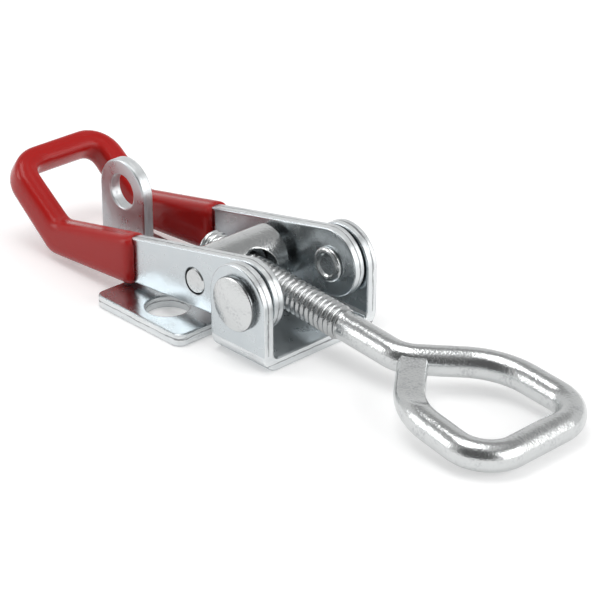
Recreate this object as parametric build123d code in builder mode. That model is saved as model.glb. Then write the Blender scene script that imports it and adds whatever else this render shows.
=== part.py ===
"""Over centre toggle latch: a folded base, a bent strip handle with a dipped grip, two rivets,
a turned trunnion and a pull hook bent from one rod.

Frame, in millimetres: X runs towards the hook, Y across, Z up. The origin lies midway between
the two mounting holes, on the underside of the base. The latch is shown closed.
"""

import os
from math import asin, atan2, cos, hypot, radians, sin, tan

from build123d import *

os.makedirs("parts", exist_ok=True)

# ---------------------------------------------------------------- sheet and fits
sheet = 2.3  # steel sheet of the base, and of the strip that the handle is bent from
fold_in = 1.0  # inside radius of the folds in the base
edge_round = 0.3  # rounding that the punch leaves along the edges of the sheet

side_gap = 0.4  # handle arm to ear, each side
rest_gap = 0.25  # coat of the closed handle to the rear edge of the plate
tongue_gap = 0.7  # coat to the tongue, each side
barrel_gap = 1.1  # barrel of the trunnion to the arms, each side
pin_fit = 0.05  # running clearance on the radius of every pin and of the threaded rod
end_fit = 0.1  # running clearance along a pin

# ---------------------------------------------------------------- base
hole_spacing = 22.0  # mounting holes, centre to centre
hole_r = 3.9
wing_end = 6.2  # centre of each hole to the end of its wing
wing_rear = 12.5  # rear edge behind the hole line
wing_front = 10.1  # front edge ahead of the hole line
wing_corner_r = 1.8

neck_length = 3.75  # wings to ears
pivot_rise = 8.95  # pivot above the floor of the base
ear_span = 26.4  # over the outer faces of the ears
ear_r = 6.65  # round top, and half the length, of each ear
relief_inset = 1.0  # the cuts beside the folds run this far past the fold lines
neck_corner_r = 1.2

tongue_neck = 3.0  # length of the tongue's full width
tab_relief = 2.25  # cut between there and the padlock tab
tab_r = 6.05  # round top, and half the length, of the padlock tab
tab_hole_z = 13.2
tab_hole_r = 3.2

# ---------------------------------------------------------------- handle
nose_r = 6.3  # round front end of each arm
nose_lift = 0.3  # its centre above the pivot
knee_x = 31.5  # bend of the strip behind the hole line
knee_r = 2.8  # half width of the strip there
slant = 37.1  # rise of the rear loop, degrees
loop_reach = 15.85  # from the knee to the middle of the crossbar
bar_width = 4.4
loop_corner_r = 5.0  # outside corner of the bare strip
knee_fillet_r = 2.0  # inside the bend, where the loop leaves the arms
loop_overrun = 6.0  # the side view runs past the crossbar, and the plan of the loop trims it

grip_front = 9.0  # where the dipped coat starts, behind the hole line
coat_outer = 1.4  # coat on the outer flats, where the dip ran thickest
coat_inner = 0.9  # coat on the inner flats and along the crossbar
coat_edge = 0.4  # coat on the narrow edges of the strip
coat_round = 1.2  # rounding of the coat's edges

# ---------------------------------------------------------------- trunnion
trunnion_back = 13.75  # axis behind the pivot
trunnion_drop = 1.9  # axis below the pivot
barrel_r = 5.1
barrel_chamfer = 0.4
journal_r = 2.3
journal_chamfer = 0.25

# ---------------------------------------------------------------- rivets
shank_r = 2.5
head_r = 4.85
head_rim = 1.1  # height of the head's rim
head_dome = 0.7  # rise of its domed face above the rim
head_bevel = 0.3
tail_r = 3.2
tail_height = 0.8
tail_cup_r = 2.1  # hollow that the riveting punch leaves
tail_cup_depth = 0.5

# ---------------------------------------------------------------- pull hook
thread_r = 3.0  # M6
wire_r = 2.6  # the thread is rolled, so the rod is thinner than its thread
rod_droop = 5.2  # fall of the rod towards its tip, degrees
thread_rear = 8.1  # end of the rod behind the trunnion axis
thread_front = 26.3  # end of the thread ahead of it
thread_chamfer = 0.7
leg_start = 39.3  # where the loop leaves the line of the rod
shoulder_at = 50.6  # widest part of the loop
shoulder_far = 12.1
shoulder_near = 10.1
bar_at = 69.0  # middle of the front crossbar
bar_half = 12.0
leg_weld = 41.5  # where the near leg's cut end is welded to the rod
leg_weld_y = 0.5
leg_bend_r = 6.0
shoulder_bend_r = 14.0
tip_bend_r = 6.2
flat_depth = 1.0  # flat that the welding clamp presses on top of the near leg
flat_length = 11.5
flat_run_out_r = 10.0

# ---------------------------------------------------------------- derived places
fold_out = fold_in + sheet
wing_span = hole_spacing + 2 * wing_end
ear_outer = ear_span / 2
ear_inner = ear_outer - sheet
arm_outer = ear_inner - side_gap
arm_inner = arm_outer - sheet
barrel_half = arm_inner - barrel_gap
tongue_half = arm_inner - coat_inner - tongue_gap
neck_half = ear_outer - fold_out - relief_inset
fold_line = fold_out - sheet / 2  # where the tongue turns up into the tab
tab_x = wing_rear + tongue_neck + tab_relief + tab_r
pivot_x = wing_front + neck_length + ear_r
pivot_z = sheet + pivot_rise
trunnion_x = pivot_x - trunnion_back
trunnion_z = pivot_z - trunnion_drop
nose_z = pivot_z + nose_lift
far_away = 4 * wing_span  # longer than anything it cuts

# the closed handle clears the plate's rear edge: the line from that edge, tangent to a ring
# round the nose, gives the slope of the arms' undersides, and so the height of the knee
coat_clear = coat_edge + rest_gap
edge_to_nose = hypot(pivot_x + wing_rear, nose_z - sheet)
underside = atan2(nose_z - sheet, pivot_x + wing_rear) - asin((nose_r + coat_clear) / edge_to_nose)
knee_z = sheet - (knee_x - wing_rear) * tan(underside) + (knee_r + coat_clear) / cos(underside)

# the rear loop of the handle lies in a plane of its own, which rises from the knee
slant_rad = radians(slant)
loop_plane = Plane(
    origin=(-knee_x, 0, knee_z),
    x_dir=(-cos(slant_rad), 0, sin(slant_rad)),
    z_dir=(sin(slant_rad), 0, cos(slant_rad)),
)
# the hook lies in a plane of its own too, through the trunnion axis
droop_rad = radians(rod_droop)
rod_plane = Plane(
    origin=(trunnion_x, 0, trunnion_z),
    x_dir=(cos(droop_rad), 0, -sin(droop_rad)),
    z_dir=(sin(droop_rad), 0, cos(droop_rad)),
)
rod_section = Plane(origin=rod_plane.origin, z_dir=rod_plane.x_dir)


# ---------------------------------------------------------------- base bracket
# ears: a channel folded up from the floor, trimmed to round tops about the pivot
with BuildPart() as ears:
    with BuildSketch(Plane.YZ.offset(pivot_x - ear_r)) as channel:
        Rectangle(ear_span, pivot_z + ear_r, align=(Align.CENTER, Align.MIN))
        fillet(channel.vertices().group_by(Axis.Y)[0], fold_out)
        with Locations((0, sheet)):
            Rectangle(2 * ear_inner, pivot_z + ear_r, align=(Align.CENTER, Align.MIN), mode=Mode.SUBTRACT)
        fillet(channel.vertices().group_by(Axis.Y)[1], fold_in)
    extrude(amount=2 * ear_r)
    with BuildSketch(Plane.XZ):
        with Locations((pivot_x, pivot_z)):
            Circle(ear_r)
        with Locations((pivot_x, 0)):
            Rectangle(2 * ear_r, pivot_z, align=(Align.CENTER, Align.MIN))
    extrude(amount=ear_span, both=True, mode=Mode.INTERSECT)

# padlock tab: folded up from the near edge of the tongue, with a round top about its hole
with BuildPart() as tab:
    with BuildSketch(Plane.YZ.offset(-tab_x - tab_r)) as angle:
        with Locations((-sheet / 2, 0)):
            Rectangle(tongue_half + sheet / 2, sheet, align=Align.MIN)
            Rectangle(sheet, tab_hole_z + tab_r, align=Align.MIN)
        fillet(angle.vertices().group_by(Axis.Y)[0].sort_by(Axis.X)[0], fold_out)
        fillet(angle.vertices().group_by(Axis.Y)[1].sort_by(Axis.X)[0], fold_in)
    extrude(amount=2 * tab_r)
    with BuildSketch(Plane.XZ):
        with Locations((-tab_x, tab_hole_z)):
            Circle(tab_r)
        with Locations((-tab_x, 0)):
            Rectangle(2 * tab_r, tab_hole_z, align=(Align.CENTER, Align.MIN))
    extrude(amount=ear_span, both=True, mode=Mode.INTERSECT)

# base: one plate with the wings, the neck to the ears and the tongue to the tab
with BuildPart() as base:
    with BuildSketch() as plate:
        with Locations(((wing_front - wing_rear) / 2, 0)):
            Rectangle(wing_front + wing_rear, wing_span)
        fillet(plate.vertices(), wing_corner_r)
        with Locations((wing_front, 0)):
            Rectangle(pivot_x - ear_r - wing_front, 2 * neck_half, align=(Align.MIN, Align.CENTER))
        with Locations((-wing_rear, tongue_half)):
            Rectangle(tongue_neck, 2 * tongue_half, align=Align.MAX)
            Rectangle(tab_x - wing_rear, tongue_half - fold_line - relief_inset, align=Align.MAX)
        inner_corners = plate.vertices().filter_by_position(Axis.X, wing_front, wing_front)
        fillet(inner_corners, neck_corner_r)
    extrude(amount=sheet)
    add(ears.part)
    add(tab.part)
    with BuildSketch(Plane.XZ):
        with Locations((pivot_x, pivot_z)):
            Circle(shank_r)
        with Locations((-tab_x, tab_hole_z)):
            Circle(tab_hole_r)
    extrude(amount=ear_span, both=True, mode=Mode.SUBTRACT)
    with GridLocations(0, hole_spacing, 1, 2):
        Hole(hole_r)
    fillet(base.edges(), edge_round)
base.part.label = "base_bracket"


# ---------------------------------------------------------------- handle
def strip_side(coat):
    """Side view of the strip, with a coat all round it: each arm tapers from its round nose to
    the knee, and from there the loop rises."""
    with BuildSketch(Plane.XZ) as rise:
        with Locations((-knee_x, knee_z)):
            Circle(knee_r + coat)
        with Locations(Location((-knee_x, knee_z), 180 - slant)):
            Rectangle(
                loop_reach + loop_overrun, bar_width + 2 * coat, align=(Align.MIN, Align.CENTER)
            )
        make_hull()
    with BuildSketch(Plane.XZ) as side:
        with Locations((pivot_x, nose_z)):
            Circle(nose_r + coat)
        with Locations((-knee_x, knee_z)):
            Circle(knee_r + coat)
        make_hull()
        add(rise.sketch_local)
        above_knee = (-knee_x, knee_z + knee_r)
        fillet(side.vertices().sort_by_distance(above_knee)[0], knee_fillet_r - coat)
    return side.sketch


# lever: seen square to the loop's plane the strip is a U with round corners
with BuildPart() as lever:
    extrude(strip_side(coat=0), amount=ear_span, both=True)
    with BuildSketch(loop_plane) as outside:
        with Locations((loop_reach + sheet / 2, 0)):
            Rectangle(far_away, 2 * arm_outer, align=(Align.MAX, Align.CENTER))
        fillet(outside.vertices().group_by(Axis.X)[-1], loop_corner_r)
    extrude(amount=far_away, both=True, mode=Mode.INTERSECT)
    with BuildSketch(loop_plane) as inside:
        with Locations((loop_reach - sheet / 2, 0)):
            Rectangle(far_away, 2 * arm_inner, align=(Align.MAX, Align.CENTER))
        fillet(inside.vertices().group_by(Axis.X)[-1], loop_corner_r - sheet)
    extrude(amount=far_away, both=True, mode=Mode.SUBTRACT)
    with BuildSketch(Plane.XZ):
        with Locations((pivot_x, pivot_z)):
            Circle(shank_r + pin_fit)
        with Locations((trunnion_x, trunnion_z)):
            Circle(journal_r + pin_fit)
    extrude(amount=ear_span, both=True, mode=Mode.SUBTRACT)
    fillet(lever.edges(), edge_round)
lever.part.label = "handle_lever"

# grip: the soft coat that a dip leaves on the rear of the strip, thicker on the flats
with BuildPart() as grip:
    extrude(strip_side(coat=coat_edge), amount=ear_span, both=True)
    with Locations((-grip_front, 0, 0)):
        Box(
            far_away,
            far_away,
            far_away,
            align=(Align.MIN, Align.CENTER, Align.CENTER),
            mode=Mode.SUBTRACT,
        )
    with BuildSketch(loop_plane) as coat_outside:
        with Locations((loop_reach + sheet / 2 + coat_inner, 0)):
            Rectangle(far_away, 2 * (arm_outer + coat_outer), align=(Align.MAX, Align.CENTER))
        fillet(coat_outside.vertices().group_by(Axis.X)[-1], loop_corner_r + coat_outer)
    extrude(amount=far_away, both=True, mode=Mode.INTERSECT)
    with BuildSketch(loop_plane) as coat_inside:
        with Locations((loop_reach - sheet / 2 - coat_inner, 0)):
            Rectangle(far_away, 2 * (arm_inner - coat_inner), align=(Align.MAX, Align.CENTER))
        fillet(coat_inside.vertices().group_by(Axis.X)[-1], loop_corner_r - sheet - coat_inner)
    extrude(amount=far_away, both=True, mode=Mode.SUBTRACT)
    fillet(grip.edges(), coat_round)
    add(lever.part, mode=Mode.SUBTRACT)
grip.part.label = "handle_grip"


# ---------------------------------------------------------------- pivot rivets
# turned about the pivot: domed head outside the ear, shank through ear and arm, cupped tail
head_face = ear_outer + head_rim
tail_foot = arm_inner - end_fit
tail_face = tail_foot - tail_height
pivot_plane = Plane(origin=(pivot_x, 0, pivot_z))
with BuildPart() as rivet_left:
    with BuildSketch(pivot_plane) as rivet_half:
        with BuildLine():
            crown = TangentArc(
                (0, head_face + head_dome), (head_r - head_bevel, head_face), tangent=(1, 0)
            )
            cup = TangentArc((0, tail_face + tail_cup_depth), (tail_cup_r, tail_face), tangent=(1, 0))
            Polyline(
                crown @ 1,
                (head_r, head_face - head_bevel),
                (head_r, ear_outer),
                (shank_r, ear_outer),
                (shank_r, tail_foot),
                (tail_r, tail_foot),
                (tail_r, tail_face),
                cup @ 1,
            )
            Line(cup @ 0, crown @ 0)
        make_face()
    revolve(axis=Axis(pivot_plane.origin, (0, 1, 0)))
rivet_left.part.label = "pivot_rivet_left"

with BuildPart() as rivet_right:
    add(mirror(rivet_left.part, about=Plane.XZ))
rivet_right.part.label = "pivot_rivet_right"


# ---------------------------------------------------------------- trunnion
# turned about its own axis: a barrel between the arms and a journal through each arm
trunnion_plane = Plane(origin=(trunnion_x, 0, trunnion_z))
with BuildPart() as trunnion:
    with BuildSketch(trunnion_plane) as turned:
        Rectangle(journal_r, 2 * arm_outer, align=(Align.MIN, Align.CENTER))
        chamfer(turned.vertices().group_by(Axis.X)[-1], journal_chamfer)
        Rectangle(barrel_r, 2 * barrel_half, align=(Align.MIN, Align.CENTER))
        chamfer(turned.vertices().group_by(Axis.X)[-1], barrel_chamfer)
    revolve(axis=Axis(trunnion_plane.origin, (0, 1, 0)))
    with BuildSketch(rod_section):
        Circle(thread_r + pin_fit)
    extrude(amount=barrel_r * 2, both=True, mode=Mode.SUBTRACT)
trunnion.part.label = "trunnion"


# ---------------------------------------------------------------- pull hook
# far part of the loop: the rod itself runs on into the far leg, the far side and the crossbar
with BuildPart() as far_bend:
    with BuildLine(rod_plane) as far_path:
        FilletPolyline(
            (thread_front, 0),
            (leg_start, 0),
            (shoulder_at, shoulder_far),
            (bar_at, bar_half),
            (bar_at, 0),
            radius=[leg_bend_r, shoulder_bend_r, tip_bend_r],
        )
    with BuildSketch(Plane(far_path.line @ 0, z_dir=far_path.line % 0)):
        Circle(wire_r)
    sweep()

# near part: back from the crossbar to the rod, where the cut end is welded on
with BuildPart() as near_bend:
    with BuildLine(rod_plane) as near_path:
        FilletPolyline(
            (bar_at, 0),
            (bar_at, -bar_half),
            (shoulder_at, -shoulder_near),
            (leg_weld, leg_weld_y),
            radius=[tip_bend_r, shoulder_bend_r],
        )
    with BuildSketch(Plane(near_path.line @ 0, z_dir=near_path.line % 0)):
        Circle(wire_r)
    sweep()
    leg_end, along_leg = near_path.line @ 1, near_path.line % 1
    with BuildSketch(Plane(leg_end, x_dir=along_leg, z_dir=along_leg.cross(rod_plane.z_dir))):
        with Locations((0, wire_r - flat_depth)):
            RectangleRounded(
                2 * (flat_length + flat_run_out_r),
                2 * flat_run_out_r + flat_depth,
                flat_run_out_r,
                align=(Align.CENTER, Align.MIN),
            )
    extrude(amount=wire_r * 2, both=True, mode=Mode.SUBTRACT)

with BuildPart() as hook:
    add(far_bend.part)
    add(near_bend.part)
    with BuildSketch(rod_plane) as rod_half:
        with Locations((-thread_rear, 0)):
            Rectangle(thread_rear + thread_front, thread_r, align=Align.MIN)
        chamfer(rod_half.vertices().sort_by(Axis.X)[:2].sort_by(Axis.Y)[-1], thread_chamfer)
    revolve(axis=Axis(rod_plane.origin, rod_plane.x_dir))
hook.part.label = "pull_hook"


# ---------------------------------------------------------------- write the pieces
for piece in (base, lever, grip, rivet_left, rivet_right, trunnion, hook):
    export_step(piece.part, f"parts/{piece.part.label}.step")
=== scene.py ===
# %% [markdown]
# # Over centre toggle latch
#
# The latch pulls two halves of a case together. A hook is held in a trunnion, the trunnion is
# carried by a handle, and the handle turns on two rivets in the ears of a folded base. Once the
# trunnion has gone below the line from the rivets to the catch, the pull itself holds it shut.
#
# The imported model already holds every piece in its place, in metres: X runs towards the hook, Y
# across, Z up. The two sheet parts keep the shapes that they have there and get their finish
# here. The hook, the trunnion, both rivets and the grip are replaced by finer pieces in the same
# places.

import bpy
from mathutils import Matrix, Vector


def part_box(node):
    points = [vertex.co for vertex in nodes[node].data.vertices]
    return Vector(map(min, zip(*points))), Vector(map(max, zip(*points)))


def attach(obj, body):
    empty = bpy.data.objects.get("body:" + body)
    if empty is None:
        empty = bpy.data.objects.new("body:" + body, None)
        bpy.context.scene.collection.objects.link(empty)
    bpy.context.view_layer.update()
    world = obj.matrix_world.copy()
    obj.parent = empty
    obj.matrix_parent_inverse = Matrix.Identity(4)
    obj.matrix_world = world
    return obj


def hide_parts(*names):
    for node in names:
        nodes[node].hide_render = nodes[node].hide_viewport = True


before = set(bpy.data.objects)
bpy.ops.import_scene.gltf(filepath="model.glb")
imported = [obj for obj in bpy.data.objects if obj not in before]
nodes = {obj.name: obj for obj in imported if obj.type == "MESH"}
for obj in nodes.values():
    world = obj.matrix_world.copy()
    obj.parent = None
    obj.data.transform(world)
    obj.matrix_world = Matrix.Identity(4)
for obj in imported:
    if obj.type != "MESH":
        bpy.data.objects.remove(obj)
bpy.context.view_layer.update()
print("nodes", sorted(nodes))

# %% Tools and units
from math import atan2, cos, pi, radians, sin, tan

import bmesh
import bpy
from mathutils import Matrix, Vector

mm = 0.001
scene = bpy.context.scene

# %% [markdown]
# ## Camera
#
# A long lens from a few hand spans away keeps the latch nearly free of perspective, as in a
# catalogue. The camera is placed by the two angles that it looks from, which is easier to reason
# about than a location: it stands ahead of the hook, to the right, and looks down on the latch.

# %% Camera
view_azimuth = radians(46.59)
view_elevation = radians(26.96)
view_distance = 401.2 * mm
look_at = Vector((21.85, 0, 7.67)) * mm

camera = bpy.data.objects.new("camera", bpy.data.cameras.new("camera"))
camera.data.lens = 142.05
camera.data.sensor_width = 36
scene.collection.objects.link(camera)
towards_camera = Vector(
    (
        sin(view_azimuth) * cos(view_elevation),
        -cos(view_azimuth) * cos(view_elevation),
        sin(view_elevation),
    )
)
camera.location = look_at + view_distance * towards_camera
camera.rotation_euler = towards_camera.to_track_quat("Z", "Y").to_euler()
camera.data.clip_start = 1 * mm
scene.camera = camera
scene.view_settings.view_transform = "Standard"
print("camera at", [round(v / mm, 1) for v in camera.location])

# %% [markdown]
# ## Colours and nodes
#
# Colours are written as sRGB hex values, the way a colour picker shows them, and one function
# turns them into the linear values that shaders work with. One more small function adds a node,
# sets its properties and sockets, and links what is passed as another node's output.


# %% Colour and node helpers
def colour(hex_code):
    """Linear red, green, blue and alpha of an sRGB hex code such as "C8CED2"."""
    channels = [int(hex_code[i : i + 2], 16) / 255 for i in (0, 2, 4)]
    linear = [c / 12.92 if c <= 0.04045 else ((c + 0.055) / 1.055) ** 2.4 for c in channels]
    return (*linear, 1.0)


def add_node(tree, kind, settings=None, **sockets):
    """Adds a node; each socket gets a value, or a link if the value is another node's output."""
    node = tree.nodes.new("ShaderNode" + kind)
    for name, value in (settings or {}).items():
        setattr(node, name, value)
    for name, value in sockets.items():
        key = int(name[1:]) if name[0] == "i" and name[1:].isdigit() else name.replace("_", " ")
        if isinstance(value, bpy.types.NodeSocket):
            tree.links.new(value, node.inputs[key])
        else:
            node.inputs[key].default_value = value
    return node


def new_material(name):
    """An empty material with its output node, ready for a shader."""
    material = bpy.data.materials.new(name)
    material.use_nodes = True
    material.node_tree.nodes.clear()
    return material, material.node_tree, add_node(material.node_tree, "OutputMaterial")


print("white is", colour("FFFFFF"))

# %% [markdown]
# ## Studio
#
# Plated steel is seen almost only by what it mirrors, so the studio matters as much as the
# finish. The latch lies on white paper in a light grey room. One soft box hangs overhead, a wide
# one stands at the right and a small one at the left, and each draws a white band along the bars.
# Between them the bars mirror the dark side of the room, where the camera stands. The paper is
# white to the camera and to mirrors alike.

# %% White paper
paper_half_width = 4  # metres
paper_gap = 0.02 * mm  # below the latch, so that the two faces don't coincide
paper, tree, output = new_material("white studio paper")
rays = add_node(tree, "LightPath")
seen = add_node(
    tree,
    "Math",
    {"operation": "MAXIMUM"},
    i0=rays.outputs["Is Camera Ray"],
    i1=rays.outputs["Is Glossy Ray"],
)
seen = add_node(
    tree, "Math", {"operation": "MAXIMUM"}, i0=seen.outputs[0], i1=rays.outputs["Is Transmission Ray"]
)
matt = add_node(tree, "BsdfDiffuse", Color=colour("E6E6E6"))
lift = add_node(tree, "Emission", Color=colour("FFFFFF"), Strength=0.3)
dark = add_node(tree, "Emission", Color=colour("000000"), Strength=0.0)
lifted = add_node(tree, "MixShader", i0=seen.outputs[0], i1=dark.outputs[0], i2=lift.outputs[0])
both = add_node(tree, "AddShader", i0=matt.outputs[0], i1=lifted.outputs[0])
tree.links.new(both.outputs[0], output.inputs["Surface"])

sheet_of_paper = bmesh.new()
bmesh.ops.create_grid(sheet_of_paper, x_segments=1, y_segments=1, size=paper_half_width)
bmesh.ops.translate(sheet_of_paper, verts=sheet_of_paper.verts, vec=(0, 0, -paper_gap))
floor = bpy.data.objects.new("floor", bpy.data.meshes.new("floor"))
sheet_of_paper.to_mesh(floor.data)
sheet_of_paper.free()
floor.data.materials.append(paper)
scene.collection.objects.link(floor)
print("floor", len(floor.data.polygons), "face")

# %% Room
world = bpy.data.worlds.new("studio room")
world.use_nodes = True
scene.world = world
tree = world.node_tree
tree.nodes.clear()
direction = add_node(tree, "TexCoord").outputs["Generated"]
height = add_node(tree, "SeparateXYZ", Vector=direction).outputs["Z"]
walls = add_node(tree, "ValToRGB", Fac=height)
stops = [(0.0, "EAEAEA"), (0.62, "E4E4E4"), (0.74, "A8A8A8"), (0.86, "A8A8A8"), (0.94, "DADADA")]
while len(walls.color_ramp.elements) < len(stops):
    walls.color_ramp.elements.new(0.5)
for element, (place, code) in zip(walls.color_ramp.elements, stops):
    element.position = place
    element.color = colour(code)
dark_turn, dark_rise = radians(-62), radians(24)
dark_core, dark_edge = radians(28), radians(46)  # angles from the middle of the dark side
dark_side = Vector(
    (cos(dark_turn) * cos(dark_rise), sin(dark_turn) * cos(dark_rise), sin(dark_rise))
)
towards_dark = add_node(tree, "VectorMath", {"operation": "DOT_PRODUCT"}, i0=direction, i1=dark_side)
shade = add_node(
    tree,
    "MapRange",
    {"interpolation_type": "SMOOTHSTEP"},
    Value=towards_dark.outputs["Value"],
    From_Min=cos(dark_edge),
    From_Max=cos(dark_core),
    To_Min=0.0,
    To_Max=1.0,
)
room_colour = add_node(
    tree,
    "Mix",
    {"data_type": "RGBA"},
    i0=shade.outputs["Result"],
    i6=walls.outputs["Color"],
    i7=colour("6A6A6A"),
)
rays = add_node(tree, "LightPath")
room = add_node(tree, "Background", Color=room_colour.outputs[2], Strength=1.0)
backdrop = add_node(tree, "Background", Color=colour("FFFFFF"), Strength=1.0)
either = add_node(
    tree, "MixShader", i0=rays.outputs["Is Camera Ray"], i1=room.outputs[0], i2=backdrop.outputs[0]
)
add_node(tree, "OutputWorld", Surface=either.outputs[0])
print("room lit")


# %% Lamps
lamp_distance = 1.0  # metres


def soft_lamp(name, azimuth, elevation, width, height, power):
    """A soft box that faces the latch from the given angles."""
    light = bpy.data.lights.new(name, "AREA")
    light.shape = "RECTANGLE"
    light.size = width
    light.size_y = height
    light.energy = power
    lamp = bpy.data.objects.new(name, light)
    turn, rise = radians(azimuth), radians(elevation)
    away = Vector((sin(turn) * cos(rise), -cos(turn) * cos(rise), sin(rise)))
    lamp.location = look_at + lamp_distance * away
    lamp.rotation_euler = away.to_track_quat("Z", "Y").to_euler()
    scene.collection.objects.link(lamp)
    print(name, "at", [round(v, 2) for v in lamp.location])


soft_lamp("overhead soft box", azimuth=-50, elevation=79, width=0.6, height=0.6, power=3.4)
soft_lamp("right soft box", azimuth=106, elevation=24, width=0.85, height=0.75, power=5.0)
soft_lamp("left soft box", azimuth=-45, elevation=20, width=0.42, height=0.45, power=1.8)

# %% [markdown]
# ## Zinc plated sheet
#
# The base and the lever are cold rolled sheet, blanked in a press, barrel plated with bright zinc
# and clear passivated. The flats are a smooth, slightly blue, satin mirror with faint clouds. The
# edges were sheared: they carry long streaks, painted near white, partly the burnished cut and
# partly a painted highlight, and where the sheet tore they are greyer and rougher. Round the pin
# of the trunnion the sheet is darkened in a fine ring.
#
# It is a metal shader with the default IOR, so the finish is all in its colour, roughness and
# bump. The edges are found by the direction that the surface faces: near the floor the sheet lies
# flat, above it the sheet stands upright along the length of the latch.

# %% Axes of the trunnion and the handle
trunnion_low, trunnion_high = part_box("trunnion")
trunnion_axis = (trunnion_low + trunnion_high) / 2
rivet_low, rivet_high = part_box("pivot_rivet_left")
pivot_axis = (rivet_low + rivet_high) / 2
pivot_axis.y = 0
print("handle turns about", [round(v / mm, 2) for v in pivot_axis])
print("trunnion turns about", [round(v / mm, 2) for v in trunnion_axis])

# %% Zinc plated sheet: where it lies, stands and was sheared
zinc_sheet, tree, output = new_material("bright zinc plated sheet steel")
coordinates = add_node(tree, "TexCoord")
place = coordinates.outputs["Object"]
where = add_node(tree, "SeparateXYZ", Vector=place)
facing = add_node(tree, "VectorMath", {"operation": "ABSOLUTE"}, i0=coordinates.outputs["Normal"])
facing = add_node(tree, "SeparateXYZ", Vector=facing.outputs[0])
fold_height = 3.3 * mm  # above it the sheet stands upright
upright = add_node(tree, "Math", {"operation": "GREATER_THAN"}, i0=where.outputs["Z"], i1=fold_height)
flatness = add_node(
    tree, "Mix", i0=upright.outputs[0], i2=facing.outputs["Z"], i3=facing.outputs["Y"]
)
sheared = add_node(
    tree, "MapRange", Value=flatness.outputs[0], From_Min=0.6, From_Max=0.35, To_Min=0.0, To_Max=1.0
)

# %% Zinc plated sheet: streaks along the sheared edges
streak_length = 5 * mm
streak_width = 0.5 * mm
lying = (1 / streak_length, 1 / streak_length, 1 / streak_width)
standing = (1 / streak_length, 1 / streak_width, 1 / streak_length)
stretch = add_node(
    tree, "Mix", {"data_type": "VECTOR"}, i0=upright.outputs[0], i4=lying, i5=standing
)
stretched = add_node(tree, "VectorMath", {"operation": "MULTIPLY"}, i0=place, i1=stretch.outputs[1])
streaks = add_node(
    tree,
    "TexNoise",
    Vector=stretched.outputs[0],
    Scale=1.0,
    Detail=5.0,
    Roughness=0.7,
    Distortion=0.5,
)
band_pitch = 2.7 * mm  # from one face of an arm to the same face of the ear beside it
band_place, band_half = 0.7, 0.04  # shares of that pitch
band_wobble = 1.1 * mm
across = add_node(tree, "Math", {"operation": "ABSOLUTE"}, i0=where.outputs["Y"])
band = add_node(tree, "Mix", i0=upright.outputs[0], i2=where.outputs["Z"], i3=across.outputs[0])
band = add_node(
    tree,
    "Math",
    {"operation": "MULTIPLY_ADD"},
    i0=streaks.outputs["Fac"],
    i1=band_wobble,
    i2=band.outputs[0],
)
band = add_node(tree, "Math", {"operation": "DIVIDE"}, i0=band.outputs[0], i1=band_pitch)
band = add_node(tree, "Math", {"operation": "FRACT"}, i0=band.outputs[0])
band = add_node(
    tree, "Math", {"operation": "COMPARE"}, i0=band.outputs[0], i1=band_place, i2=band_half
)
tear_line = add_node(
    tree, "Math", {"operation": "MULTIPLY"}, i0=band.outputs[0], i1=sheared.outputs["Result"]
)
# Streaks on the sheared edges: they set roughness and bump, and in the tint they carry a painted highlight.
edge_streaks_and_highlight = add_node(
    tree, "Math", {"operation": "MULTIPLY"}, i0=sheared.outputs["Result"], i1=streaks.outputs["Fac"]
)

# %% Zinc plated sheet: clouds on the flats, and a dark ring round the pin
cloud_size = 3 * mm
grain_size = 0.5 * mm  # coarser than the real grain, so that it shows
edge_roughness, inner_roughness = 0.14, 0.06  # added to the roughness of the flats
dark_ring_inner, dark_ring_outer = 2.42 * mm, 2.62 * mm
arm_face, tab_face = 10.5 * mm, 1.4 * mm  # the faces turned inwards lie within these
grain_height, streak_height = 0.01 * mm, 0.16 * mm
clouds = add_node(tree, "TexNoise", Vector=place, Scale=1 / cloud_size, Detail=4.0, Roughness=0.6)
grain = add_node(tree, "TexNoise", Vector=place, Scale=1 / grain_size, Detail=2.0)
rough = add_node(
    tree,
    "MapRange",
    Value=clouds.outputs["Fac"],
    From_Min=0.35,
    From_Max=0.65,
    To_Min=0.2,
    To_Max=0.29,
)
rough = add_node(
    tree,
    "Math",
    {"operation": "MULTIPLY_ADD"},
    i0=edge_streaks_and_highlight.outputs[0],
    i1=edge_roughness,
    i2=rough.outputs["Result"],
)
pin = add_node(tree, "VectorMath", {"operation": "SUBTRACT"}, i0=place, i1=trunnion_axis)
pin = add_node(tree, "VectorMath", {"operation": "MULTIPLY"}, i0=pin.outputs[0], i1=(1, 0, 1))
pin = add_node(tree, "VectorMath", {"operation": "LENGTH"}, i0=pin.outputs[0])
dark_pin_ring = add_node(
    tree,
    "MapRange",
    Value=pin.outputs["Value"],
    From_Min=dark_ring_inner,
    From_Max=dark_ring_outer,
    To_Min=1.0,
    To_Max=0.0,
)
tint = add_node(
    tree,
    "Mix",
    {"data_type": "RGBA"},
    i0=clouds.outputs["Fac"],
    i6=colour("BDC4C8"),
    i7=colour("CBD0D2"),
)
# The streaks on the sheared edges are painted near white: partly the burnished cut, partly a painted
# highlight.
tint = add_node(
    tree, "Mix", {"data_type": "RGBA"}, i0=edge_streaks_and_highlight.outputs[0], i6=tint.outputs[2], i7=colour("F6F7F7")
)
tint = add_node(
    tree, "Mix", {"data_type": "RGBA"}, i0=tear_line.outputs[0], i6=tint.outputs[2], i7=colour("96989A")
)
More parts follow.
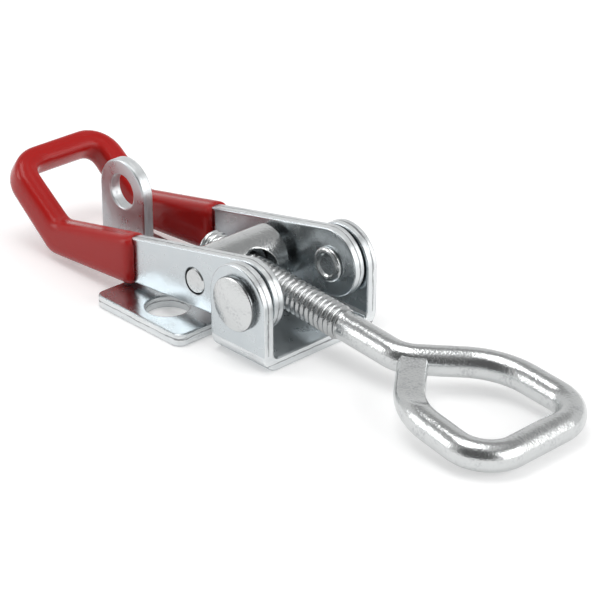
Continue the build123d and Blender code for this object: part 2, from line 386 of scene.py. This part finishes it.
# The sheet is darkened in a fine ring round the pin of the trunnion.
tint = add_node(
    tree, "Mix", {"data_type": "RGBA"}, i0=dark_pin_ring.outputs["Result"], i6=tint.outputs[2], i7=colour("16181A")
)
inward = add_node(tree, "Mix", i0=upright.outputs[0], i2=arm_face, i3=tab_face)
inner = add_node(
    tree, "Math", {"operation": "LESS_THAN"}, i0=across.outputs[0], i1=inward.outputs[0]
)
rough = add_node(
    tree,
    "Math",
    {"operation": "MULTIPLY_ADD"},
    i0=inner.outputs[0],
    i1=inner_roughness,
    i2=rough.outputs[0],
)
worn_edge = add_node(tree, "Bevel", {"samples": 8}, Radius=0.4 * mm)
bump = add_node(
    tree,
    "Bump",
    Strength=1.0,
    Distance=grain_height,
    Height=grain.outputs["Fac"],
    Normal=worn_edge.outputs["Normal"],
)
bump = add_node(
    tree,
    "Bump",
    Strength=1.0,
    Distance=streak_height,
    Height=edge_streaks_and_highlight.outputs[0],
    Normal=bump.outputs["Normal"],
)
metal = add_node(
    tree,
    "BsdfPrincipled",
    Base_Color=tint.outputs[2],
    Metallic=1.0,
    Roughness=rough.outputs[0],
    Normal=bump.outputs["Normal"],
)
tree.links.new(metal.outputs[0], output.inputs["Surface"])
for name in ("base_bracket", "handle_lever"):
    nodes[name].material_slots[0].material = zinc_sheet
print("zinc on the sheet parts")

# %% [markdown]
# ## Zinc plated bar
#
# The hook, the trunnion and the rivets are drawn bar. The plating is the same, but the bar was
# bent, rolled and knocked about in the barrel, so it is brighter and never quite smooth: fine
# grain and shallow dents break up every band that it mirrors.

# %% Zinc plated bar: dents, patches of dark grain, and painted shade at the rivet rims and in the mouths
zinc_bar, tree, output = new_material("bright zinc plated bar steel")
place = add_node(tree, "TexCoord").outputs["Object"]
rod_droop = radians(5.2)
rod_direction = (cos(rod_droop), 0, -sin(rod_droop))
mouth_radius = 4.3 * mm
mouth_slope = 0.6 * mm
rod_reach, barrel_reach = 3.05 * mm, 6.5 * mm  # just outside the thread and the barrel
thread_middle, thread_half = 22.5 * mm, 10.5 * mm
barrel_front = 12.3 * mm
rim_radius, rim_half = 4.85 * mm, 0.1 * mm
dent_size = 3 * mm
dent_height = 0.05 * mm
bar_grain_size = 0.4 * mm  # coarser than the real grain, so that it shows
bar_grain_height = 0.045 * mm
rim_shade_share, dull_share, shadow_share = 0.85, 0.5, 0.3
dull_roughness = 0.15
dents = add_node(tree, "TexNoise", Vector=place, Scale=1 / dent_size, Detail=2.0, Roughness=0.5)
grain = add_node(tree, "TexNoise", Vector=place, Scale=1 / bar_grain_size, Detail=2.0, Roughness=0.6)
specks = add_node(
    tree, "MapRange", Value=grain.outputs["Fac"], From_Min=0.46, From_Max=0.64, To_Min=0.0, To_Max=1.0
)
patches = add_node(
    tree, "MapRange", Value=dents.outputs["Fac"], From_Min=0.48, From_Max=0.62, To_Min=0.1, To_Max=0.8
)
soot = add_node(
    tree, "Math", {"operation": "MULTIPLY"}, i0=specks.outputs["Result"], i1=patches.outputs["Result"]
)
tint = add_node(
    tree,
    "Mix",
    {"data_type": "RGBA"},
    i0=soot.outputs[0],
    i6=colour("CDCFCF"),
    i7=colour("B2B4B6"),
)
rough = add_node(
    tree, "MapRange", Value=dents.outputs["Fac"], From_Min=0.3, From_Max=0.7, To_Min=0.13, To_Max=0.22
)
along = add_node(tree, "SeparateXYZ", Vector=place).outputs["X"]
from_rod = add_node(tree, "VectorMath", {"operation": "SUBTRACT"}, i0=place, i1=trunnion_axis)
from_rod = add_node(
    tree, "VectorMath", {"operation": "CROSS_PRODUCT"}, i0=from_rod.outputs[0], i1=rod_direction
)
from_rod = add_node(tree, "VectorMath", {"operation": "LENGTH"}, i0=from_rod.outputs[0])
from_rod = from_rod.outputs["Value"]
on_rod = add_node(tree, "Math", {"operation": "LESS_THAN"}, i0=from_rod, i1=rod_reach)
on_thread = add_node(
    tree, "Math", {"operation": "COMPARE"}, i0=along, i1=thread_middle, i2=thread_half
)
on_thread = add_node(
    tree, "Math", {"operation": "MULTIPLY"}, i0=on_rod.outputs[0], i1=on_thread.outputs[0]
)
from_pivot = add_node(tree, "VectorMath", {"operation": "SUBTRACT"}, i0=place, i1=pivot_axis)
from_pivot = add_node(
    tree, "VectorMath", {"operation": "MULTIPLY"}, i0=from_pivot.outputs[0], i1=(1, 0, 1)
)
from_pivot = add_node(tree, "VectorMath", {"operation": "LENGTH"}, i0=from_pivot.outputs[0])
on_rim = add_node(
    tree,
    "Math",
    {"operation": "COMPARE"},
    i0=from_pivot.outputs["Value"],
    i1=rim_radius,
    i2=rim_half,
)
off_rod = add_node(tree, "Math", {"operation": "GREATER_THAN"}, i0=from_rod, i1=barrel_reach)
# Painted shade: the side of each rivet head's rim is darkened.
painted_rim_shade = add_node(
    tree, "Math", {"operation": "MULTIPLY"}, i0=on_rim.outputs[0], i1=off_rod.outputs[0]
)
painted_rim_shade = add_node(tree, "Math", {"operation": "MULTIPLY"}, i0=painted_rim_shade.outputs[0], i1=rim_shade_share)
tint = add_node(
    tree, "Mix", {"data_type": "RGBA"}, i0=painted_rim_shade.outputs[0], i6=tint.outputs[2], i7=colour("55585A")
)
dull = add_node(tree, "Math", {"operation": "MULTIPLY"}, i0=on_thread.outputs[0], i1=dull_share)
tint = add_node(
    tree, "Mix", {"data_type": "RGBA"}, i0=dull.outputs[0], i6=tint.outputs[2], i7=colour("909293")
)
rough = add_node(
    tree,
    "Math",
    {"operation": "MULTIPLY_ADD"},
    i0=dull.outputs[0],
    i1=dull_roughness,
    i2=rough.outputs["Result"],
)
on_barrel = add_node(tree, "Math", {"operation": "LESS_THAN"}, i0=along, i1=barrel_front)
mouth_depth = add_node(
    tree,
    "MapRange",
    {"interpolation_type": "SMOOTHSTEP"},
    Value=from_rod,
    From_Min=mouth_radius,
    From_Max=mouth_radius - mouth_slope,
    To_Min=0.0,
    To_Max=1.0,
)
mouth_depth = add_node(
    tree, "Math", {"operation": "MULTIPLY"}, i0=mouth_depth.outputs["Result"], i1=on_barrel.outputs[0]
)
# Painted shade: the inside of each mouth round the rod is darkened.
mouth_painted_shade = add_node(
    tree, "Math", {"operation": "SUBTRACT"}, i0=mouth_depth.outputs[0], i1=on_rod.outputs[0]
)
mouth_painted_shade = add_node(
    tree,
    "Math",
    {"operation": "MULTIPLY", "use_clamp": True},
    i0=mouth_painted_shade.outputs[0],
    i1=shadow_share,
)
tint = add_node(
    tree,
    "Mix",
    {"data_type": "RGBA"},
    i0=mouth_painted_shade.outputs[0],
    i6=tint.outputs[2],
    i7=colour("3C3E40"),
)
bump = add_node(
    tree, "Bump", {"invert": True}, Strength=1.0, Distance=0.5 * mm, Height=mouth_depth.outputs[0]
)
for pattern, pattern_height in ((dents, dent_height), (grain, bar_grain_height)):
    bump = add_node(
        tree,
        "Bump",
        Strength=1.0,
        Distance=pattern_height,
        Height=pattern.outputs["Fac"],
        Normal=bump.outputs["Normal"],
    )
metal = add_node(
    tree,
    "BsdfPrincipled",
    Base_Color=tint.outputs[2],
    Metallic=1.0,
    Roughness=rough.outputs[0],
    Normal=bump.outputs["Normal"],
)
tree.links.new(metal.outputs[0], output.inputs["Surface"])
for name in ("trunnion", "pivot_rivet_left", "pivot_rivet_right", "pull_hook"):
    nodes[name].material_slots[0].material = zinc_bar
print("zinc on the bars")

# %% [markdown]
# ## Pull hook
#
# The hook is one bent bar, here 5.2 mm thick. A thread is rolled on one end, which squeezes
# metal out of the grooves, so the crests stand prouder than the bar. The other end is bent round
# and its cut end is welded on, and the clamp of the welder presses a flat on that leg.
#
# A thread could be a bump, but its crests break the outline here, so it is real geometry: one
# pitch of the profile, spun round the axis with a small step forward each time. The bar is a ring
# that is swept on from there, straight runs by extruding and bends by spinning.

# %% Sizes of the hook
rod_frame = Matrix.Translation(trunnion_axis) @ Matrix.Rotation(rod_droop, 4, "Y")

bar_r = 2.6 * mm
thread_r = 3.0 * mm
pitch = 1.15 * mm
groove_depth = 0.43 * pitch  # rolled shallow, from a bar thinner than the crests
root_r = thread_r - groove_depth
thread_rear = -8.1 * mm
thread_front = 26.3 * mm
end_chamfer = 0.7 * mm
print("thread from", thread_rear / mm, "to", thread_front / mm)

# %% Thread: one pitch of the profile, spun into a helix
thread_steps = 40
spare_turns = 4  # cut off again with the ends
root_rise, flank_fall, crest_fall = 0.03 * mm, 0.13 * mm, 0.02 * mm
profile = [  # share of the pitch, distance from the axis
    (0.0, root_r),
    (0.1, root_r + root_rise),
    (0.3, thread_r - flank_fall),
    (0.4, thread_r - crest_fall),
    (0.5, thread_r),
    (0.6, thread_r - crest_fall),
    (0.7, thread_r - flank_fall),
    (0.9, root_r + root_rise),
    (1.0, root_r),
]
hook_mesh = bmesh.new()
turns = round((thread_front - thread_rear) / pitch) + spare_turns
helix_start = thread_rear - spare_turns / 2 * pitch
points = [
    hook_mesh.verts.new((helix_start + share * pitch, 0, radius)) for share, radius in profile
]
lines = [hook_mesh.edges.new(pair) for pair in zip(points, points[1:])]
bmesh.ops.spin(
    hook_mesh,
    geom=points + lines,
    cent=(0, 0, 0),
    axis=(1, 0, 0),
    dvec=(pitch / thread_steps, 0, 0),
    angle=2 * pi,
    steps=thread_steps,
)
one_turn = hook_mesh.verts[:] + hook_mesh.edges[:] + hook_mesh.faces[:]
for turn in range(1, turns):
    copied = bmesh.ops.duplicate(hook_mesh, geom=one_turn)["geom"]
    moved = [item for item in copied if isinstance(item, bmesh.types.BMVert)]
    bmesh.ops.translate(hook_mesh, verts=moved, vec=(turn * pitch, 0, 0))
bmesh.ops.remove_doubles(hook_mesh, verts=hook_mesh.verts, dist=0.005 * mm)
print("thread", turns, "turns,", len(hook_mesh.faces), "faces")

# %% Thread: run-out, chamfer and cut ends
run_out = 1.2 * mm
for vert in hook_mesh.verts:
    away = Vector((0, vert.co.y, vert.co.z))
    fade = min(max((thread_front - vert.co.x) / run_out, 0), 1)
    faded = bar_r + (away.length - bar_r) * fade
    chamfered = thread_r - end_chamfer + (vert.co.x - thread_rear)
    away.length = min(faded, max(chamfered, root_r - end_chamfer / 2))
    vert.co = Vector((vert.co.x, away.y, away.z))
for end, outward in ((thread_rear, -1), (thread_front, 1)):
    bmesh.ops.bisect_plane(
        hook_mesh,
        geom=hook_mesh.verts[:] + hook_mesh.edges[:] + hook_mesh.faces[:],
        dist=0.0001 * mm,
        plane_co=(end, 0, 0),
        plane_no=(outward, 0, 0),
        clear_outer=True,
    )
open_edges = [edge for edge in hook_mesh.edges if edge.is_boundary]
rear_rim = [edge for edge in open_edges if edge.verts[0].co.x < 0]
front_rim = [edge for edge in open_edges if edge.verts[0].co.x > 0]
print("rims", len(rear_rim), len(front_rim))

# %% Thread: closed at the rear, carried on as a round bar at the front
bmesh.ops.holes_fill(hook_mesh, edges=rear_rim, sides=0)
sides = 48
round_bar = bmesh.ops.create_circle(
    hook_mesh, cap_ends=False, radius=bar_r, segments=sides, matrix=Matrix.Rotation(pi / 2, 4, "Y")
)["verts"]
blend_length = 0.3 * mm
bmesh.ops.translate(hook_mesh, verts=round_bar, vec=(thread_front + blend_length, 0, 0))
bar_ring = list({edge for vert in round_bar for edge in vert.link_edges})
bmesh.ops.bridge_loops(hook_mesh, edges=front_rim + bar_ring)
bar_ring = [edge for edge in bar_ring if edge.is_boundary]
print("bar ring", len(bar_ring))


# %% Bar: straight runs and bends
def straight_run(ring, vector, steps):
    """Extrudes the open end of the bar along the vector."""
    for _ in range(steps):
        made = bmesh.ops.extrude_edge_only(hook_mesh, edges=ring)["geom"]
        moved = [item for item in made if isinstance(item, bmesh.types.BMVert)]
        bmesh.ops.translate(hook_mesh, verts=moved, vec=vector / steps)
        ring = [item for item in made if isinstance(item, bmesh.types.BMEdge) and item.is_boundary]
    return ring


def bend(ring, centre, angle, steps):
    """Spins the open end of the bar about an upright axis through the centre of the bend."""
    ends = list({vert for edge in ring for vert in edge.verts})
    last = bmesh.ops.spin(
        hook_mesh, geom=ends + ring, cent=centre, axis=(0, 0, 1), angle=angle, steps=steps
    )["geom_last"]
    return [item for item in last if isinstance(item, bmesh.types.BMEdge)]


straight_step, bend_step = 0.5 * mm, 0.4 * mm
corners = [  # x, y and bend radius in mm
    (39.3, 0, 6.0),
    (50.6, 12.1, 14.0),
    (69.0, 12.0, 6.2),
    (69.0, -12.0, 6.2),
    (50.6, -10.1, 14.0),
]
weld = Vector((41.5, 0.5, 0)) * mm
stops = [Vector((x, y, 0)) * mm for x, y, _ in corners] + [weld]
here = Vector((thread_front + blend_length, 0, 0))
ring = bar_ring
for corner, onward, (_, _, bend_radius) in zip(stops, stops[1:], corners):
    way_in, way_out = (corner - here).normalized(), (onward - corner).normalized()
    turn = atan2(way_in.cross(way_out).z, way_in.dot(way_out))
    radius = bend_radius * mm
    bend_start = corner - way_in * radius * tan(abs(turn) / 2)
    before_near_leg = len(hook_mesh.verts)
    run = bend_start - here
    ring = straight_run(ring, run, max(round(run.length / straight_step), 1))
    side_way = Vector((-way_in.y, way_in.x, 0)) * (1 if turn > 0 else -1)
    bend_steps = max(round(abs(turn) * radius / bend_step), 4)
    ring = bend(ring, bend_start + side_way * radius, turn, bend_steps)
    here = corner + way_out * radius * tan(abs(turn) / 2)
last_run = weld - here
ring = straight_run(ring, last_run, round(last_run.length / straight_step))
near_leg = set(hook_mesh.verts[before_near_leg:])
bmesh.ops.holes_fill(hook_mesh, edges=ring, sides=0)
closed = all(edge.is_manifold for edge in hook_mesh.edges)
print("hook", len(hook_mesh.faces), "faces, closed", closed)

# %% Bar: flat that the welding clamp presses on the near leg
flat_depth = 1.0 * mm
flat_length = 11.5 * mm
run_out_r = 10.0 * mm
onto_rod = 0.8 * mm
step_r = 2.5 * mm
leg_way = (weld - stops[-2]).normalized()
for vert in hook_mesh.verts:
    from_weld = vert.co - weld
    along, beside = from_weld.dot(leg_way), abs(from_weld.cross(leg_way).z)
    on_leg = vert in near_leg
    if -flat_length - run_out_r < along < onto_rod and (on_leg or beside < bar_r):
        past = max(-flat_length - along, 0) if on_leg else 0
        climb = max(along - (onto_rod - step_r), 0)
        top = bar_r - flat_depth + run_out_r - (run_out_r**2 - past**2) ** 0.5
        if not on_leg and along > -2 * bar_r:
            top += step_r - (step_r**2 - climb**2) ** 0.5
        if on_leg or along > -2 * bar_r:
            vert.co.z = min(vert.co.z, top)
print("flat pressed")

# %% Hook: put in its place
bmesh.ops.remove_doubles(hook_mesh, verts=hook_mesh.verts, dist=0.002 * mm)
bmesh.ops.recalc_face_normals(hook_mesh, faces=hook_mesh.faces)
bmesh.ops.transform(hook_mesh, matrix=rod_frame, verts=hook_mesh.verts)
for face in hook_mesh.faces:
    face.smooth = len(face.verts) < 6
pull_hook = bpy.data.objects.new("threaded_pull_hook", bpy.data.meshes.new("threaded_pull_hook"))
hook_mesh.to_mesh(pull_hook.data)
hook_mesh.free()
pull_hook.data.materials.append(zinc_bar)
scene.collection.objects.link(pull_hook)
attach(pull_hook, "hook")
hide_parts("pull_hook")
print("threaded hook in place")

# %% [markdown]
# ## Mouths of the trunnion
#
# Before the bore of the trunnion is threaded, each end of it is opened with a wide flat cutter,
# so that the thread starts on a clean seat. Two plugs that lie along the rod are taken away from
# a copy of the bar.

# %% Trunnion: cut both mouths
seat_depth = 2.2 * mm  # from the axis of the bar to the seat
plug_length = 6 * mm
seat_radius, opening_radius = mouth_radius - 0.3 * mm, mouth_radius + 0.2 * mm
crease_angle = radians(30)
trunnion_mesh = bmesh.new()
trunnion_mesh.from_mesh(nodes["trunnion"].data)
bmesh.ops.remove_doubles(trunnion_mesh, verts=trunnion_mesh.verts, dist=0.001 * mm)
cross_bar = bpy.data.objects.new("cross_bar", bpy.data.meshes.new("cross_bar"))
trunnion_mesh.to_mesh(cross_bar.data)
trunnion_mesh.free()
scene.collection.objects.link(cross_bar)
plug_mesh = bmesh.new()
for way in (1, -1):
    centre = Vector((way * (seat_depth + plug_length / 2), 0, 0))
    lie_down = Matrix.Rotation(way * pi / 2, 4, "Y")
    bmesh.ops.create_cone(
        plug_mesh,
        cap_ends=True,
        segments=96,
        radius1=seat_radius,
        radius2=opening_radius,
        depth=plug_length,
        matrix=rod_frame @ Matrix.Translation(centre) @ lie_down,
    )
plugs = bpy.data.objects.new("plugs", bpy.data.meshes.new("plugs"))
plug_mesh.to_mesh(plugs.data)
plug_mesh.free()
scene.collection.objects.link(plugs)
cut = cross_bar.modifiers.new("mouths", "BOOLEAN")
cut.operation = "DIFFERENCE"
cut.solver = "EXACT"
cut.object = plugs
cut_bar = bmesh.new()
cut_bar.from_object(cross_bar, bpy.context.evaluated_depsgraph_get())
cross_bar.modifiers.clear()
bpy.data.objects.remove(plugs)
bmesh.ops.remove_doubles(cut_bar, verts=cut_bar.verts, dist=0.002 * mm)
bmesh.ops.recalc_face_normals(cut_bar, faces=cut_bar.faces)
for face in cut_bar.faces:
    face.smooth = True
for edge in cut_bar.edges:
    edge.smooth = len(edge.link_faces) != 2 or edge.calc_face_angle() < crease_angle
cut_bar.to_mesh(cross_bar.data)
open_count = sum(edge.is_boundary for edge in cut_bar.edges)
print("trunnion with mouths", len(cut_bar.faces), "faces, open edges", open_count)
cut_bar.free()
cross_bar.data.materials.clear()
cross_bar.data.materials.append(zinc_bar)
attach(cross_bar, "trunnion")
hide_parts("trunnion")

# %% [markdown]
# ## Pivot rivets
#
# Each rivet is a turned blank: a domed head outside the ear, and a shank whose inner end was
# spread by a punch, which leaves a flat ring round a shallow hollow. On the lathe the head was
# cut off at its pole, so a small dimple stays there. One half outline spun round the pivot makes
# the whole piece; the other one is the same outline facing the other way.

# %% Rivets: half outline, from the hollow of the tail to the pole of the head
rivet_face = max(abs(rivet_low.y), abs(rivet_high.y))
rivet_foot = min(abs(rivet_low.y), abs(rivet_high.y))
head_radius = (rivet_high.x - rivet_low.x) / 2
crown_rise = 0.85 * mm
rim_bevel = 0.08 * mm
crown_steps = 12
crown_power = 2.1  # a little fuller than a ball
dimple_share, dimple_depth = 0.06, 0.15 * mm
hollow_radius, hollow_depth = 1.8 * mm, 0.35 * mm
tail_radius, tail_height = 3.2 * mm, 0.8 * mm
shank_radius = 2.5 * mm
head_height = 1.8 * mm
sharp_angle = 0.6  # radians
outline = [  # distance from the pivot, distance from the middle plane
    (0, rivet_foot + hollow_depth),
    (hollow_radius, rivet_foot + hollow_depth),
    (2.0 * mm, rivet_foot + 0.2 * mm),
    (2.2 * mm, rivet_foot + 0.05 * mm),
    (2.5 * mm, rivet_foot),
    (2.8 * mm, rivet_foot + 0.05 * mm),
    (3.05 * mm, rivet_foot + 0.2 * mm),
    (tail_radius, rivet_foot + tail_height / 2),
    (tail_radius, rivet_foot + tail_height),
    (shank_radius, rivet_foot + tail_height),
    (shank_radius, rivet_face - head_height),
    (head_radius, rivet_face - head_height),
    (head_radius, rivet_face - crown_rise - 2 * rim_bevel),
]
for step in range(crown_steps + 1):
    share = 1 - (1 - dimple_share) * step / crown_steps
    out = rivet_face - crown_rise * share**crown_power
    outline.append(((head_radius - rim_bevel) * share, out))
outline.append((0, rivet_face - dimple_depth))
print("rivet head", round(2 * head_radius / mm, 2), "mm across")

# %% Rivets: spin and place
for side, node in (("left", "pivot_rivet_left"), ("right", "pivot_rivet_right")):
    outward = 1 if sum(corner.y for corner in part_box(node)) > 0 else -1
    rivet_mesh = bmesh.new()
    points = [
        rivet_mesh.verts.new((pivot_axis.x + radius, outward * out, pivot_axis.z))
        for radius, out in outline
    ]
    edges = [rivet_mesh.edges.new(pair) for pair in zip(points, points[1:])]
    bmesh.ops.spin(
        rivet_mesh,
        geom=points + edges,
        cent=pivot_axis,
        axis=(0, 1, 0),
        angle=2 * pi,
        steps=72,
        use_merge=True,
    )
    bmesh.ops.remove_doubles(rivet_mesh, verts=rivet_mesh.verts, dist=0.001 * mm)
    bmesh.ops.recalc_face_normals(rivet_mesh, faces=rivet_mesh.faces)
    rim = [
        edge
        for edge in rivet_mesh.edges
        if len(edge.link_faces) == 2 and edge.calc_face_angle() > sharp_angle
    ]
    bmesh.ops.bevel(
        rivet_mesh,
        geom=rim,
        affect="EDGES",
        offset=rim_bevel,
        segments=2,
        profile=0.5,
        material=-1,
    )
    for face in rivet_mesh.faces:
        face.smooth = True
    rivet = bpy.data.objects.new(side + "_pivot_rivet", bpy.data.meshes.new(side + "_pivot_rivet"))
    rivet_mesh.to_mesh(rivet.data)
    rivet_mesh.free()
    rivet.data.materials.append(zinc_bar)
    scene.collection.objects.link(rivet)
    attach(rivet, "base")
    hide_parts(node)
    print(rivet.name, "has", len(rivet.data.polygons), "faces")

# %% [markdown]
# ## Dipped vinyl
#
# The handle was heated, dipped in liquid vinyl and cured, which leaves a thick, soft, glossy red
# skin with rounded edges.

# %% Dipped vinyl
vinyl, tree, output = new_material("red dipped vinyl")
place = add_node(tree, "TexCoord").outputs["Object"]
ripple_size = 5 * mm
ripple = add_node(tree, "TexNoise", Vector=place, Scale=1 / ripple_size, Detail=2.0)
rounded = add_node(tree, "Bevel", {"samples": 8}, Radius=1.8 * mm)
bump = add_node(
    tree,
    "Bump",
    Strength=0.1,
    Distance=0.1 * mm,
    Height=ripple.outputs["Fac"],
    Normal=rounded.outputs["Normal"],
)
skin = add_node(
    tree,
    "BsdfPrincipled",
    Base_Color=colour("A81C1A"),
    Roughness=0.12,
    IOR=1.53,
    Specular_IOR_Level=0.24,
    Normal=bump.outputs["Normal"],
)
tree.links.new(skin.outputs[0], output.inputs["Surface"])
nodes["handle_grip"].material_slots[0].material = vinyl
print("vinyl on the grip")

# %% Dipped grip: the liquid draws every edge round
drop_size = 0.3 * mm
grip_mesh = bmesh.new()
grip_mesh.from_mesh(nodes["handle_grip"].data)
bmesh.ops.remove_doubles(grip_mesh, verts=grip_mesh.verts, dist=0.001 * mm)
grip = bpy.data.objects.new("dipped_grip", bpy.data.meshes.new("dipped_grip"))
grip_mesh.to_mesh(grip.data)
grip_mesh.free()
drops = grip.modifiers.new("even drops", "REMESH")
drops.mode = "VOXEL"
drops.voxel_size = drop_size
drops.use_smooth_shade = True
drawn = grip.modifiers.new("drawn round", "SMOOTH")
drawn.factor = 0.5
drawn.iterations = 40
grip.data.materials.append(vinyl)
scene.collection.objects.link(grip)
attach(grip, "handle")
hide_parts("handle_grip")
print("grip of drops", drop_size / mm, "mm across")
